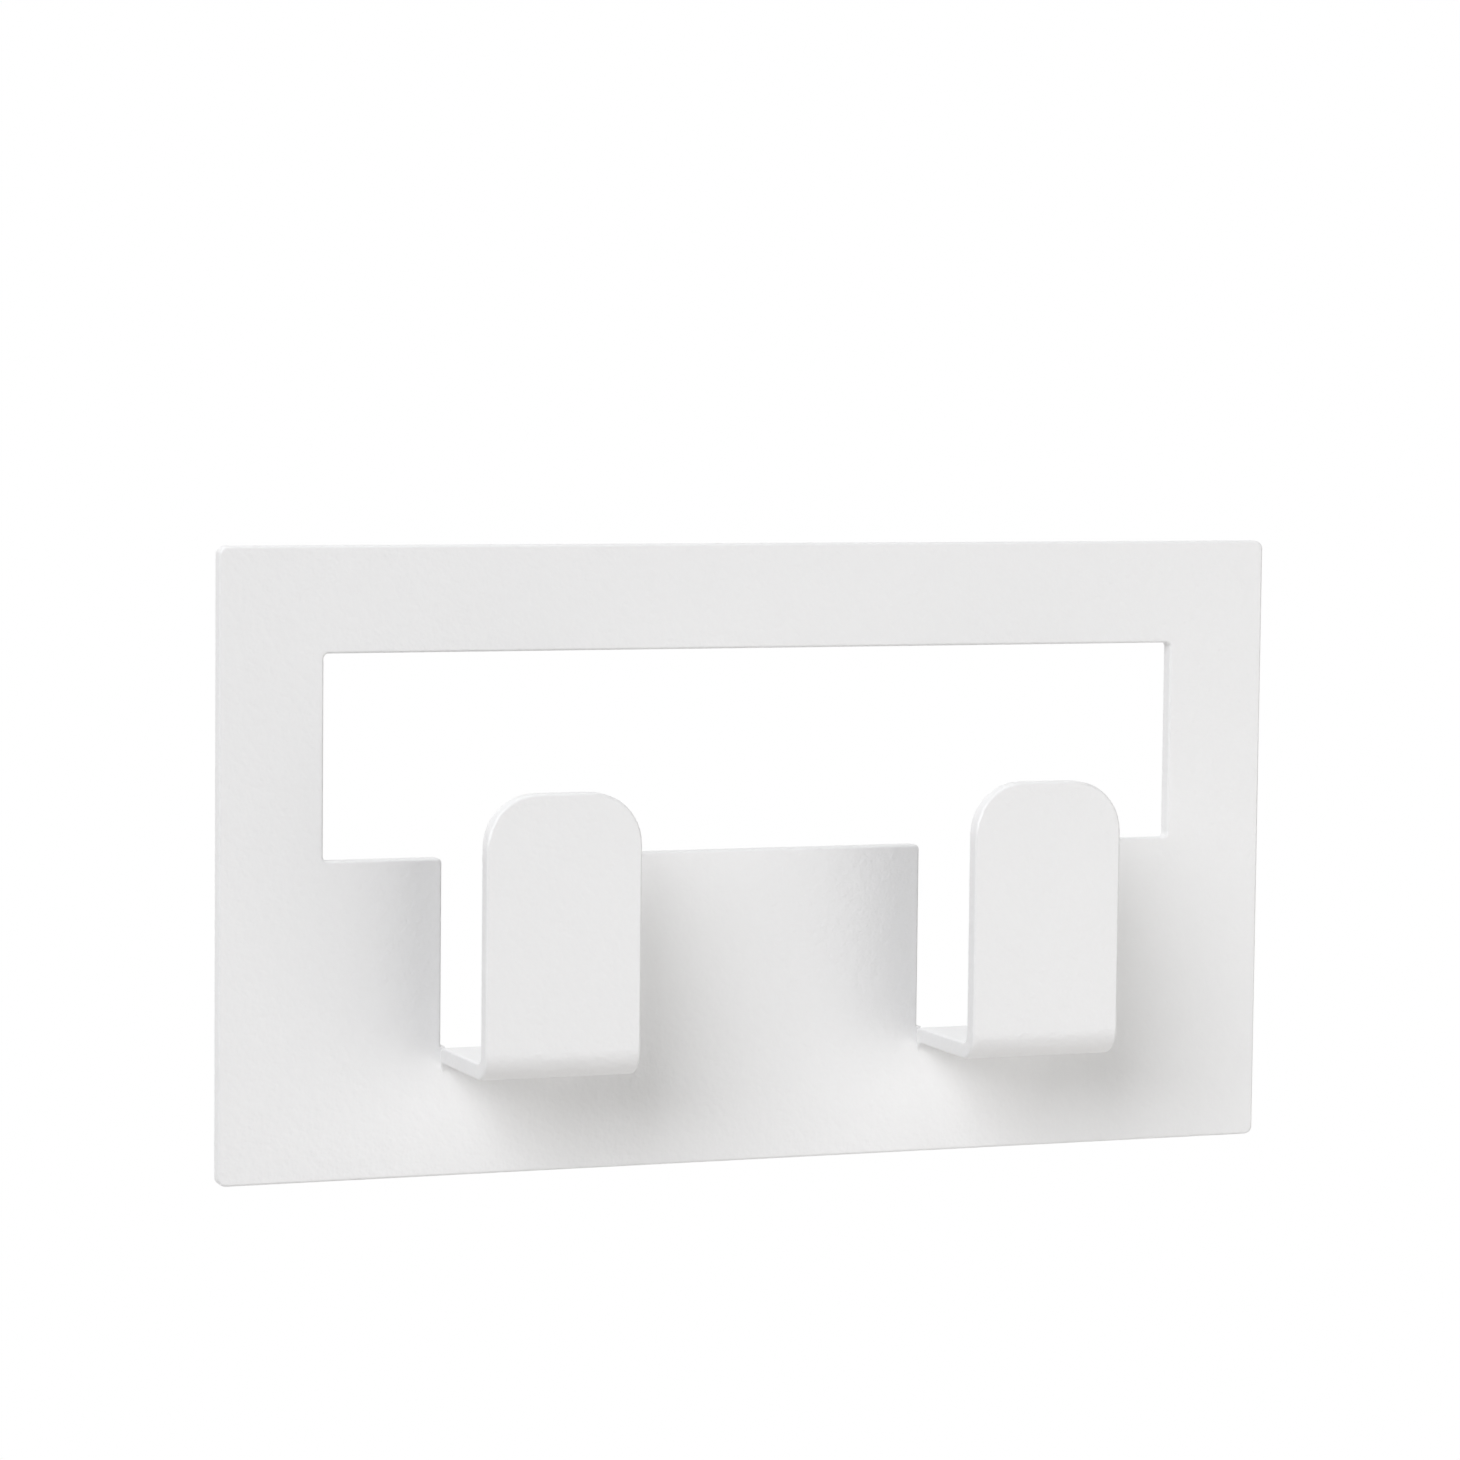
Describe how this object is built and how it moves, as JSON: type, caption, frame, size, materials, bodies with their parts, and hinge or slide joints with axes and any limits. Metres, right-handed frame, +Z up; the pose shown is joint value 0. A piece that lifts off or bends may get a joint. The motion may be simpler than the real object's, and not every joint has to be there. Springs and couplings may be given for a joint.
{
  "type": "double towel hook",
  "caption": "Folded sheet-metal wall plate with a wide window and upturned tab hooks, cut from the plate and bent forward, for hanging towels.",
  "frame": {"origin": "on the flat wall face of the sheet, midway between the hooks, level with the tops of their seats", "axes": "+X to the right along the plate's width, +Y into the wall, +Z up; the hooks stand out towards -Y"},
  "size_m": [0.16, 0.0228, 0.0891],
  "materials": {
    "white_powder_coat": "satin white powder coat with a fine orange-peel grain"
  },
  "bodies": {
    "root": {"hook_plate": "white_powder_coat"}
  },
  "joints": []
}
